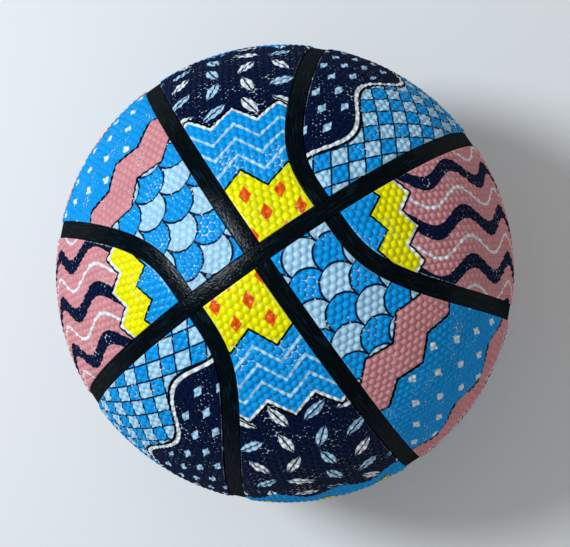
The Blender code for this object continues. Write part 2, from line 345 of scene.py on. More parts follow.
@dataclass(frozen=True)
class SeamLayout:
    """Where the seams run on the ball, with the radii taken from the CAD pieces.

    The panel edge is a share of the ball radius, from a seam's middle line to the panels beside it.
    """

    ball_radius: float
    panel_floor: float
    strip_radius: float
    strip_floor: float
    panel_edge: float
    oval_end_arc: float = 0.0383
    oval_side_angle: float = math.radians(45)
    oval_squareness: float = 3.4
    samples: int = 3000

    @classmethod
    def from_frame(cls) -> "SeamLayout":
        """Measure the radii and the panels' edge on the CAD nodes.

        Returns:
            The layout.
        """
        skin = 0.1 * MM
        panel = cls.node_points("inner_panel_right_back")
        strip = cls.node_points("long_seam_strip")
        reach = np.linalg.norm(panel, axis=1)
        strip_reach = np.linalg.norm(strip, axis=1)
        edge = panel[reach > reach.max() - skin, 1].min() / reach.max()
        return cls(reach.max(), reach.min(), strip_reach.max(), strip_reach.min(), edge)

    @staticmethod
    def node_points(node: str) -> np.ndarray:
        """Vertices of a CAD node.

        Args:
            node: Name of the node.

        Returns:
            One point to a row.
        """
        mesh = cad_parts[node].data
        points = np.empty(len(mesh.vertices) * 3)
        mesh.vertices.foreach_get("co", points)
        return points.reshape(-1, 3)

    def oval_line(self, turns: np.ndarray) -> np.ndarray:
        """Unit vectors along the middle of the right-hand oval seam.

        Args:
            turns: Turns about +X, 0 at the middle of the back half.

        Returns:
            One unit vector to a row.
        """
        power = self.oval_squareness
        across = np.abs(np.cos(turns)) / math.tan(self.oval_side_angle)
        along = np.abs(np.sin(turns)) * math.tan(self.oval_end_arc / self.ball_radius)
        polar = np.arctan((across**power + along**power) ** (-1 / power))
        aside = np.sin(polar)
        return np.stack([np.cos(polar), aside * np.cos(turns), aside * np.sin(turns)], axis=-1)

    def oval_points(self, turns: np.ndarray, shift: float) -> np.ndarray:
        """Unit vectors along the right-hand oval seam, shifted outwards over the ball.

        Args:
            turns: Turns about +X, 0 at the middle of the back half.
            shift: Angle of the shift.

        Returns:
            One unit vector to a row.
        """
        step = 1e-5
        points = self.oval_line(turns)
        tangents = self.oval_line(turns + step) - self.oval_line(turns - step)
        tangents /= np.linalg.norm(tangents, axis=1, keepdims=True)
        return points * math.cos(shift) + np.cross(tangents, points) * math.sin(shift)

    def oval_edge(self, shift: float, first: float = 0.0, last: float = 1.0) -> np.ndarray:
        """Points along the back half of the oval seam, from its lower end up to the upper one.

        Args:
            shift: Angle that the line is shifted outwards.
            first: Share of the way at which the points start.
            last: Share of the way at which they end.

        Returns:
            Unit vectors, closely spaced.
        """
        turns = np.linspace(0, math.pi / 2, self.samples)
        end = np.interp(-self.panel_edge, -self.oval_points(turns, shift)[:, 1], turns)
        turns = np.linspace(-end, end, self.samples)
        travelled = distances_along(self.oval_points(turns, shift))
        chosen = np.interp(np.linspace(first, last, self.samples), travelled / travelled[-1], turns)
        return self.oval_points(chosen, shift)

    def cross_edge(self, offset: float) -> np.ndarray:
        """Points along the back half of the cross seam, from the bottom up.

        Args:
            offset: Share of the ball radius that the line lies to the seam's right.

        Returns:
            Unit vectors, closely spaced.
        """
        reach = math.sqrt(1 - offset**2)
        start = math.asin(self.panel_edge / reach)
        angles = np.linspace(start, math.pi - start, self.samples)
        aside = np.full_like(angles, offset)
        return np.stack([aside, reach * np.sin(angles), -reach * np.cos(angles)], axis=-1)

    def long_edge(self, offset: float, start: np.ndarray, end: np.ndarray) -> np.ndarray:
        """Points along the long seam, an offset behind it, between two points' angles from the bottom.

        Args:
            offset: Share of the ball radius that the line lies behind the seam.
            start: Unit vector that gives the first angle.
            end: Unit vector that gives the last angle.

        Returns:
            Unit vectors, closely spaced.
        """
        reach = math.sqrt(1 - offset**2)
        first, last = (math.atan2(point[0], -point[2]) for point in (start, end))
        angles = np.linspace(first, last, self.samples)
        behind = np.full_like(angles, offset)
        return np.stack([reach * np.sin(angles), behind, -reach * np.cos(angles)], axis=-1)


class Design(Enum):
    """The four printed patterns."""

    LEAVES = "leaves"
    SCALLOPS = "scallops"
    HARLEQUIN = "harlequin"
    WAVES = "waves"


@dataclass(frozen=True)
class PrintSpace:
    """A panel's own places in a material tree, in millimetres along and across the panel.

    The spot is the place on the pebble grid, and the inset is how far it lies inside the panel's edge.
    """

    tree: NodeTree
    place: NodeSocket
    along: NodeSocket
    across: NodeSocket
    spot: NodeSocket
    inset: NodeSocket

    @classmethod
    def from_tree(cls, tree: NodeTree) -> "PrintSpace":
        """Read the attributes that the panel's mesh brings.

        Args:
            tree: Material's node tree.

        Returns:
            The places.
        """
        place = add(tree, "ShaderNodeAttribute", attribute_name=PANEL_COORDINATES).outputs["Vector"]
        axes = add(tree, "ShaderNodeSeparateXYZ", place).outputs
        spot = add(tree, "ShaderNodeAttribute", attribute_name=PEBBLE_GRID).outputs["Vector"]
        inset = add(tree, "ShaderNodeSeparateXYZ", spot).outputs["Z"]
        return cls(tree, place, axes["X"], axes["Y"], spot, inset)

    def lozenges(
        self, pitch_along: float, pitch_across: float, half_length: float, half_width: float
    ) -> Node:
        """Staggered rows of lozenges.

        Args:
            pitch_along: Spacing of the lozenges along a row.
            pitch_across: Spacing of two rows that line up.
            half_length: Half a lozenge's length.
            half_width: Half its width.

        Returns:
            Node that gives the millimetres inside a lozenge, negative outside.
        """
        node = partial(add, self.tree)
        sets = []
        for shift in (0.0, 0.5):
            x = node("ADD", self.along, shift * pitch_along)
            x = node("WRAP", x, pitch_along / 2, -pitch_along / 2)
            y = node("ADD", self.across, shift * pitch_across)
            y = node("WRAP", y, pitch_across / 2, -pitch_across / 2)
            lengthwise = node("DIVIDE", node("ABSOLUTE", x), half_length)
            slant = node("ADD", lengthwise, node("DIVIDE", node("ABSOLUTE", y), half_width))
            sets.append(node("MULTIPLY", node("SUBTRACT", 1.0, slant), half_width))
        return node("MAXIMUM", *sets)

    def beyond_zigzag(self, far: Feed, tooth: float, slope: float, start: float) -> Node:
        """Millimetres that a place lies beyond a zigzag line, with a tooth's half width, slope and start."""
        rise = add(self.tree, "PINGPONG", self.across, tooth)
        return add(self.tree, "SUBTRACT", far, add(self.tree, "MULTIPLY_ADD", rise, slope, start))

    def ripple(self, axis: Feed, period: float, depth: float, middle: Feed) -> Node:
        """Wave along an axis, with its period, its depth and what it swings about in millimetres."""
        wave = add(self.tree, "SINE", add(self.tree, "MULTIPLY", axis, math.tau / period))
        return add(self.tree, "MULTIPLY_ADD", wave, depth, middle)

    def bands(self, shape: Node, *margins: tuple[float, str]) -> list[Layer]:
        """Layers of one shape, each grown by its own margin in millimetres, with their inks."""
        return [(add(self.tree, "ADD", shape, margin), ink) for margin, ink in margins]


@dataclass(frozen=True)
class GlossFilm:
    """Clear film of gloss on rubber: its weight sets how pale the limb turns, and its index the glints."""

    weight: float
    roughness: float
    index: float = 4.0

    def values(self) -> dict[str, float]:
        """Values for a shader whose only gloss is this film."""
        coat = {"Weight": self.weight, "IOR": self.index, "Roughness": self.roughness}
        return {"Specular IOR Level": 0.0, **{f"Coat {name}": value for name, value in coat.items()}}


@dataclass(frozen=True)
class PrintedRubber:
    """Moulded cover rubber with a screen-printed pattern: saturated inks with a low satin gloss.

    Ink lies evenly over the pebbles, and in patches it is missing from the ground between them, so the
    pale rubber shows as dots and fine lines. A thin film of gloss gives the pebbles their glints.
    Lengths are millimetres, and pairs are the first and the last value of a range.
    """

    design: Design
    pebbles: Pebbles
    navy: str = "#021233"
    ink_black: str = "#03060C"
    blue: str = "#0C98E2"
    sky: str = "#A9D4EC"
    pink: str = "#D69094"
    yellow: str = "#EFE804"
    orange: str = "#E85A14"
    white: str = "#E4EBEB"
    roughness: tuple[float, float] = (0.32, 0.41)
    film: GlossFilm = GlossFilm(0.033, 0.12)
    cloud_size: float = 14.0
    cloud_tones: tuple[float, float] = (0.92, 1.07)
    valley_shade_height: float = 0.4
    valley_shade: float = 0.8
    smooth_rim: tuple[float, float] = (0.8, 1.8)
    crisp_height: float = 0.3
    grain_size: float = 0.35
    grain_height: float = 0.04
    grain_strength: float = 0.12
    edge_blur: float = 0.15
    bare_edge: float = 0.06
    bare_edge_blur: float = 0.05
    speck_patch: float = 17.0
    speck_noise: tuple[float, float] = (0.43, 0.68)
    speck_reach: tuple[float, float] = (0.595, 0.475)
    speck_blur: float = 0.02
    speck_strength: float = 0.9
    speck_inset: float = 1.6
    edge_highlight_inset: float = 0.35
    edge_highlight_half_width: tuple[float, float] = (0.3, 0.15)
    edge_highlight_stretch: float = 30.0
    edge_highlight_stretch_noise: tuple[float, float] = (0.48, 0.60)
    edge_highlight_strength: float = 0.85
    edge_highlight_dot: float = 1.2
    edge_highlight_dot_noise: tuple[float, float] = (0.42, 0.55)

    def material(self) -> Material:
        """Build the material.

        Returns:
            The material, which reads the panel's own coordinates in millimetres.
        """
        material, tree, shader = new_material(f"printed_rubber_{self.design.value}")
        node = partial(add, tree)
        space = PrintSpace.from_tree(tree)
        reach = self.pebbles.reach(tree, space.spot, self.pebbles.looseness)
        dome = self.pebbles.dome(tree, node("DIVIDE", reach, self.pebbles.radius / self.pebbles.pitch))
        colour = self.worn(space, reach, self.pattern(space))

        # Ink thickness varies a little over the ball, and painted shade darkens the ground between pebbles
        cloud = node(NOISE, space.place, 1 / self.cloud_size, 3.0)
        cloud = node(RANGE, cloud, *NOISE_SPREAD, *self.cloud_tones)
        tone = node("MULTIPLY", cloud, node(RANGE, dome, 0.0, self.valley_shade_height, self.valley_shade, 1.0))
        colour = node(VECTOR, colour, named={"Scale": tone}, operation="SCALE")

        # The mould's crisp pebble outlines are finer than the mesh, and its grain is finer still
        clear = node(RANGE, space.inset, *self.smooth_rim, 0.0, 1.0)
        crisp = node("ShaderNodeBump", named={
            "Strength": 1.0, "Distance": self.crisp_height * MM, "Height": node("MULTIPLY", dome, clear),
        })
        grain = node(NOISE, space.place, 1 / self.grain_size, 2.0)
        bump = node("ShaderNodeBump", named={
            "Strength": self.grain_strength, "Distance": self.grain_height * MM,
            "Height": grain.outputs["Fac"], "Normal": crisp,
        })
        gloss = node(RANGE, grain, *NOISE_SPREAD, *self.roughness)
        maps = {"Base Color": colour, "Roughness": gloss, "Normal": bump}
        finish_shader(tree, shader, maps, {"IOR": 1.5, **self.film.values()})
        return material

    def pattern(self, space: PrintSpace) -> Feed:
        """Lay the design's inks over each other.

        Args:
            space: The panel's places.

        Returns:
            Node that gives the colour.
        """
        layers = {
            Design.LEAVES: self.leaves,
            Design.SCALLOPS: self.scallops,
            Design.HARLEQUIN: self.harlequin,
            Design.WAVES: self.waves,
        }[self.design](space)
        colour = linear(layers[0][1])
        for inside, ink in layers[1:]:
            mask = add(space.tree, RANGE, inside, -self.edge_blur, self.edge_blur, 0.0, 1.0)
            colour = add(space.tree, MIX, mask, colour, linear(ink), data_type="RGBA")
        return colour

    def worn(self, space: PrintSpace, reach: Node, colour: Feed) -> Node:
        """Wear the print off between pebbles, paint a highlight along the panel's edge, and end the print
        there.

        Args:
            space: The panel's places.
            reach: Distance from the middle of the nearest pebble, in pitches.
            colour: The printed colour.

        Returns:
            Node that gives the worn colour, with the painted edge highlight.
        """
        node = partial(add, space.tree)

        # Pale rubber shows where three pebbles meet, and right round the pebbles in the middle of a patch
        patch = node(NOISE, space.place, 1 / self.speck_patch, 3.0)
        bare = node(RANGE, patch, *self.speck_noise, *self.speck_reach)
        past = node("SUBTRACT", reach, bare)
        specks = node(RANGE, past, 0.0, self.speck_blur, 0.0, self.speck_strength)
        specks = node("MULTIPLY", specks, node("GREATER_THAN", space.inset, self.speck_inset))
        colour = node(MIX, specks, colour, linear(self.white), data_type="RGBA")

        # Painted highlight where the panel's rounded edge catches light, drawn as pale dotted stretches like
        # rubbed-off ink
        stretches = node(NOISE, space.place, 1 / self.edge_highlight_stretch, 2.0)
        stretches = node(RANGE, stretches, *self.edge_highlight_stretch_noise, 0.0, self.edge_highlight_strength)
        dots = node(NOISE, space.place, 1 / self.edge_highlight_dot, 1.0)
        dots = node(RANGE, dots, *self.edge_highlight_dot_noise, 0.0, 1.0)
        line = node("ABSOLUTE", node("SUBTRACT", space.inset, self.edge_highlight_inset))
        line = node(RANGE, line, *self.edge_highlight_half_width, 0.0, 1.0)
        edge_highlight = node("MULTIPLY", node("MULTIPLY", stretches, dots), line)
        colour = node(MIX, edge_highlight, colour, linear(self.white), data_type="RGBA")

        # The print stops at the panel's edge, and its walls, where the face's mark falls below 1, are black
        face = node("ShaderNodeAttribute", attribute_name="face").outputs["Fac"]
        edge = node("MINIMUM", node("SUBTRACT", space.inset, self.bare_edge), node("SUBTRACT", face, 0.999))
        inked = node(RANGE, edge, -self.bare_edge_blur, 0.0, 0.0, 1.0)
        return node(MIX, inked, linear(self.ink_black), colour, data_type="RGBA")

    def leaves(self, space: PrintSpace) -> list[Layer]:
        """Navy with scattered leaves, a zigzag yellow end with lozenges and a blue middle.

        Args:
            space: The panel's places.

        Returns:
            The inks from the ground up.
        """
        node = partial(add, space.tree)
        far = node("ABSOLUTE", space.along)

        # One leaf to a square cell, turned by chance, in sky or else in white
        cell, half_length, half_width, half_vein = 17.0, 7.2, 2.7, 0.45
        sky_share, sharpness = 0.45, 40.0
        corner = node(VECTOR, space.place, (cell, cell, cell), operation="SNAP")
        chance = node("ShaderNodeTexWhiteNoise", corner, noise_dimensions="2D").outputs["Value"]
        centred = node(VECTOR, space.place, corner, operation="SUBTRACT")
        centred = node(VECTOR, centred, (cell / 2, cell / 2, 0.0), operation="SUBTRACT")
        angle = node("MULTIPLY", chance, math.tau)
        turned = node("ShaderNodeVectorRotate", centred, named={"Angle": angle}, rotation_type="Z_AXIS")
        leaf = node("ShaderNodeSeparateXYZ", turned).outputs
        length = node("POWER", node("DIVIDE", leaf["X"], half_length), 2.0)
        reach = node("MULTIPLY", node("SUBTRACT", 1.0, length), half_width)
        from_vein = node("ABSOLUTE", leaf["Y"])
        blade = node("SUBTRACT", reach, from_vein)
        vein = node("MINIMUM", node("SUBTRACT", half_vein, from_vein), blade)
        pale = node("MINIMUM", blade, node("MULTIPLY", node("SUBTRACT", chance, sky_share), sharpness))

        # Zigzag end with echo lines, and a yellow tip with lozenges
        tooth, slope, half_echo, half_spacing = 11.0, 0.9, 0.9, 4.5
        end = space.beyond_zigzag(far, tooth, slope, start=112.0)
        tip = space.beyond_zigzag(far, tooth, slope, start=148.0)
        from_echo = node("ABSOLUTE", node("WRAP", end, half_spacing, -half_spacing))
        echo = node("SUBTRACT", half_echo, from_echo)
        lozenge = space.lozenges(pitch_along=20.0, pitch_across=16.0, half_length=4.6, half_width=3.0)

        # Rippled middle with nested lozenges, and small ones between them
        middle = node("SUBTRACT", space.ripple(space.across, period=30.0, depth=5.0, middle=38.0), far)
        half_pitch, large_length, large_width, large_slope = 15.5, 27.0, 14.0, 12.4
        small_length, small_width, small_slope = 10.0, 5.0, 4.5
        rings = (1.0, 0.9, 0.66, 0.56, 0.32)
        aside = node("ABSOLUTE", node("WRAP", space.across, half_pitch, -half_pitch))
        slant = node("ADD", node("DIVIDE", far, large_length), node("DIVIDE", aside, large_width))
        nested = [node("MULTIPLY", node("SUBTRACT", size, slant), large_slope) for size in rings]
        beside = node("DIVIDE", node("SUBTRACT", half_pitch, aside), small_width)
        between = node("ADD", node("DIVIDE", far, small_length), beside)
        between = node("MULTIPLY", node("SUBTRACT", 1.0, between), small_slope)
        return [
            (None, self.navy),
            (blade, self.sky),
            (pale, self.white),
            (vein, self.navy),
            *space.bands(middle, (1.6, self.ink_black), (0.0, self.blue)),
            (between, self.sky),
            *zip(nested, (self.ink_black, self.yellow, self.navy, self.white, self.orange)),
            *space.bands(end, (3.4, self.ink_black), (1.8, self.white), (0.0, self.blue)),
            (node("MINIMUM", echo, node("SUBTRACT", end, 3.0)), self.sky),
            *space.bands(tip, (1.4, self.ink_black), (0.0, self.yellow)),
            (node("MINIMUM", lozenge, node("SUBTRACT", tip, 4.0)), self.orange),
        ]

    def scallops(self, space: PrintSpace) -> list[Layer]:
        """Blue with pale scallops at the ends, a pink zigzag band and a pink middle.

        Args:
            space: The panel's places.

        Returns:
            The inks from the ground up.
        """
        node = partial(add, space.tree)
        far = node("ABSOLUTE", space.along)

        # Rows of overlapping discs, shifted by half a disc in every other row
        radius, half_outline = 10.0, 0.55
        row = node("FLOOR", node("DIVIDE", far, radius))
        odd = node("FLOORED_MODULO", row, 2.0)
        up = node("SUBTRACT", far, node("MULTIPLY", row, radius))
        aside = node("WRAP", node("MULTIPLY_ADD", odd, radius, space.across), radius, -radius)
        reach = node("SQRT", node("ADD", node("POWER", up, 2.0), node("POWER", aside, 2.0)))
        disc = node("SUBTRACT", radius, reach)
        pale = node("MULTIPLY", disc, node("SUBTRACT", node("MULTIPLY", odd, 2.0), 1.0))
        outline = node("SUBTRACT", half_outline, node("ABSOLUTE", disc))

        # Zigzag band beside them, and sprinkled lozenges beyond it
        tooth, slope = 13.0, 0.55
        ends = space.beyond_zigzag(far, tooth, slope, start=112.0)
        zigzag = space.beyond_zigzag(far, tooth, slope, start=92.0)
        band = node("MINIMUM", zigzag, node("SUBTRACT", 0.0, ends))
        sprinkle = space.lozenges(pitch_along=26.0, pitch_across=18.0, half_length=3.4, half_width=2.2)

        # Rippled middle with a zigzag ribbon and its echo lines
        middle = node("SUBTRACT", space.ripple(space.across, period=34.0, depth=5.0, middle=40.0), far)
        half_ribbon, half_echo, echo_distance = 8.5, 1.0, 14.0
        climb = node("ABSOLUTE", space.beyond_zigzag(space.along, tooth=11.75, slope=-0.8, start=4.7))
        ribbon = node("SUBTRACT", half_ribbon, climb)
        echo = node("SUBTRACT", half_echo, node("ABSOLUTE", node("SUBTRACT", climb, echo_distance)))
        return [
            (None, self.blue),
            (node("MINIMUM", sprinkle, node("SUBTRACT", -4.0, zigzag)), self.white),
            *space.bands(middle, (1.6, self.navy), (0.0, self.pink)),
            (node("MINIMUM", echo, middle), self.white),
            *space.bands(ribbon, (1.3, self.ink_black), (0.0, self.navy), (-5.4, self.yellow)),
            (node("MINIMUM", pale, ends), self.sky),
            (node("MINIMUM", outline, ends), self.navy),
            *space.bands(band, (1.5, self.ink_black), (0.0, self.pink)),
        ]

    def harlequin(self, space: PrintSpace) -> list[Layer]:
        """Sky and blue diamonds beside the seam, and navy with sky drops beyond a wavy line.

        Args:
            space: The panel's places.

        Returns:
            The inks from the ground up.
        """
        node = partial(add, space.tree)
        length, width, line_slope, half_line, sharpness = 15.0, 10.0, 8.3, 0.45, 30.0
        lengthwise = node("DIVIDE", space.along, length)
        crosswise = node("DIVIDE", space.across, width)
        first = node("SUBTRACT", node("PINGPONG", node("ADD", lengthwise, crosswise), 1.0), 0.5)
        second = node("SUBTRACT", node("PINGPONG", node("SUBTRACT", lengthwise, crosswise), 1.0), 0.5)
        check = node("MULTIPLY", first, second)
        lines = node("MINIMUM", node("ABSOLUTE", first), node("ABSOLUTE", second))
        lines = node("SUBTRACT", half_line, node("MULTIPLY", lines, line_slope))
        beyond = node("SUBTRACT", space.across, space.ripple(space.along, period=64.0, depth=6.0, middle=4.0))
        drops = space.lozenges(pitch_along=18.0, pitch_across=16.0, half_length=4.2, half_width=2.0)
        return [
            (None, self.sky),
            (node("MULTIPLY", check, sharpness), self.blue),
            (lines, self.navy),
            *space.bands(beyond, (3.6, self.ink_black), (2.0, self.white), (0.0, self.navy)),
            (node("MINIMUM", drops, node("SUBTRACT", beyond, 4.0)), self.sky),
        ]

    def waves(self, space: PrintSpace) -> list[Layer]:
        """Pink with navy waves and white lines along the panel, and yellow zigzag ends.

        Args:
            space: The panel's places.

        Returns:
            The inks from the ground up.
        """
        node = partial(add, space.tree)
        half_pitch, half_wave, line_start = 12.0, 3.6, 11.2
        stripe = space.ripple(space.along, period=44.0, depth=4.5, middle=space.across)
        stripe = node("ABSOLUTE", node("WRAP", stripe, half_pitch, -half_pitch))
        far = node("ABSOLUTE", space.along)
        end = space.beyond_zigzag(far, tooth=8.0, slope=0.9, start=112.0)
        return [
            (None, self.pink),
            (node("SUBTRACT", half_wave, stripe), self.navy),
            (node("SUBTRACT", stripe, line_start), self.white),
            *space.bands(end, (3.2, self.ink_black), (1.7, self.white), (0.0, self.yellow)),
            *space.bands(end, (-14.0, self.ink_black), (-15.4, self.blue)),
        ]


@dataclass(frozen=True)
class SeamRubber:
    """Extruded black rubber: satin, with a sheen that grain and drawn streaks break up; its scuffs partly
    paint a bluish sheen.

    Lengths are millimetres, and pairs are the first and the last value of a range.
    """

    colour: str = "#02090D"
    scuff_and_sheen: str = "#152C3A"
    scuff_and_sheen_noise: tuple[float, float] = (0.52, 0.72)
    roughness: tuple[float, float] = (0.39, 0.55)
    film: GlossFilm = GlossFilm(0.031, 0.16)
    streak_length: float = 9.0
    streak_width: float = 1.1
    streak_share: float = 0.2
    grain_size: float = 1.0
    relief_height: float = 0.24

    def material(self) -> Material:
        """Build the material on the strip's own coordinates in millimetres.

        Returns:
            The material.
        """
        material, tree, shader = new_material("extruded_black_rubber")
        node = partial(add, tree)
        place = node("ShaderNodeAttribute", attribute_name=STRIP_COORDINATES).outputs["Vector"]
        drawn_out = (1 / self.streak_length, 1 / self.streak_width, 1.0)
        drawn = node(VECTOR, place, drawn_out, operation="MULTIPLY")
        streaks = node(NOISE, drawn, 1.0, 3.0)
        grain = node(NOISE, place, 1 / self.grain_size, 2.0)
        # Pale bluish patches along the streaks: partly real scuffs, partly a painted bluish sheen
        worn = node("MULTIPLY", node(RANGE, streaks, *self.scuff_and_sheen_noise, 0.0, 1.0), grain)
        colour = node(MIX, worn, linear(self.colour), linear(self.scuff_and_sheen), data_type="RGBA")
        gloss = node(RANGE, grain, *NOISE_SPREAD, *self.roughness)
        relief = node("MULTIPLY_ADD", streaks, self.streak_share, grain.outputs["Fac"])
        height = self.relief_height * MM
        bump = node("ShaderNodeBump", named={"Strength": 1.0, "Distance": height, "Height": relief})
        maps = {"Base Color": colour, "Roughness": gloss, "Normal": bump, "Coat Normal": bump}
        finish_shader(tree, shader, maps, {"IOR": 1.52, **self.film.values()})
        return material


@dataclass(frozen=True)
class MouldedRubber:
    """Plain moulded rubber: a matt surface with a fine grain and a slight pale bloom.

    Lengths are millimetres, and pairs are the first and the last value of a range.
    """

    name: str
    colour: str
    bloom: str
    roughness: tuple[float, float]
    grain_size: float
    grain_height: float = 0.05
    grain_strength: float = 0.2
    bloom_size: float = 12.0
    bloom_noise: tuple[float, float] = (0.45, 0.75)
    bloom_share: float = 0.6

    def material(self) -> Material:
        """Build the material on Object coordinates.

        Returns:
            The material.
        """
        material, tree, shader = new_material(self.name)
        node = partial(add, tree)
        place = node("ShaderNodeTexCoord").outputs["Object"]
        cloud = node(NOISE, place, 1 / (self.bloom_size * MM), 3.0)
        share = node(RANGE, cloud, *self.bloom_noise, 0.0, self.bloom_share)
        colour = node(MIX, share, linear(self.colour), linear(self.bloom), data_type="RGBA")
        grain = node(NOISE, place, 1 / (self.grain_size * MM), 2.0)
        gloss = node(RANGE, grain, *NOISE_SPREAD, *self.roughness)
        bump = node("ShaderNodeBump", named={
            "Strength": self.grain_strength, "Distance": self.grain_height * MM,
            "Height": grain.outputs["Fac"],
        })
        finish_shader(tree, shader, {"Base Color": colour, "Roughness": gloss, "Normal": bump}, {"IOR": 1.52})
        return material


@dataclass(frozen=True)
class WoundThread:
    """Nylon thread wound round the bladder: dull off-white runs that cross, with painted shade in the gaps
    between them.

    Real thread is about 0.3 mm, and it is drawn three times as coarse so that the runs show. Each run is
    given by the turn that lays it, and the roughness by its values in the gaps and on top.
    """

    colour: str = "#CDC8BC"
    gap_shade: str = "#7E786C"
    thread_pitch: float = 0.9
    thread_height: float = 0.2
    relief: float = 0.6
    edges: tuple[float, float] = (-0.2, 0.6)
    roughness: tuple[float, float] = (0.85, 0.70)
    runs: tuple[tuple[float, float, float], ...] = ((0.3, 0.2, 0.0), (1.2, -0.5, 0.8))

    def material(self) -> Material:
        """Build the material on Object coordinates.

        Returns:
            The material.
        """
        material, tree, shader = new_material("nylon_thread_winding")
        node = partial(add, tree)
        place = node("ShaderNodeTexCoord").outputs["Object"]
        heights = []
        for run in self.runs:
            turned = node("ShaderNodeVectorRotate", place, named={"Rotation": run}, rotation_type="EULER_XYZ")
            axes = node("ShaderNodeSeparateXYZ", turned).outputs
            turns = node("MULTIPLY", axes["X"], math.tau / (self.thread_pitch * MM))
            heights.append(node("SINE", turns))
        height = node("MAXIMUM", *heights)
        share = node(RANGE, height, *self.edges, 0.0, 1.0)
        # The gaps between the runs are darker: painted shade
        colour = node(MIX, share, linear(self.gap_shade), linear(self.colour), data_type="RGBA")
        gloss = node(RANGE, height, -1.0, 1.0, *self.roughness)
        bump = node("ShaderNodeBump", named={
            "Strength": self.relief, "Distance": self.thread_height * MM, "Height": height,
        })
        finish_shader(tree, shader, {"Base Color": colour, "Roughness": gloss, "Normal": bump}, {"IOR": 1.53})
        return material


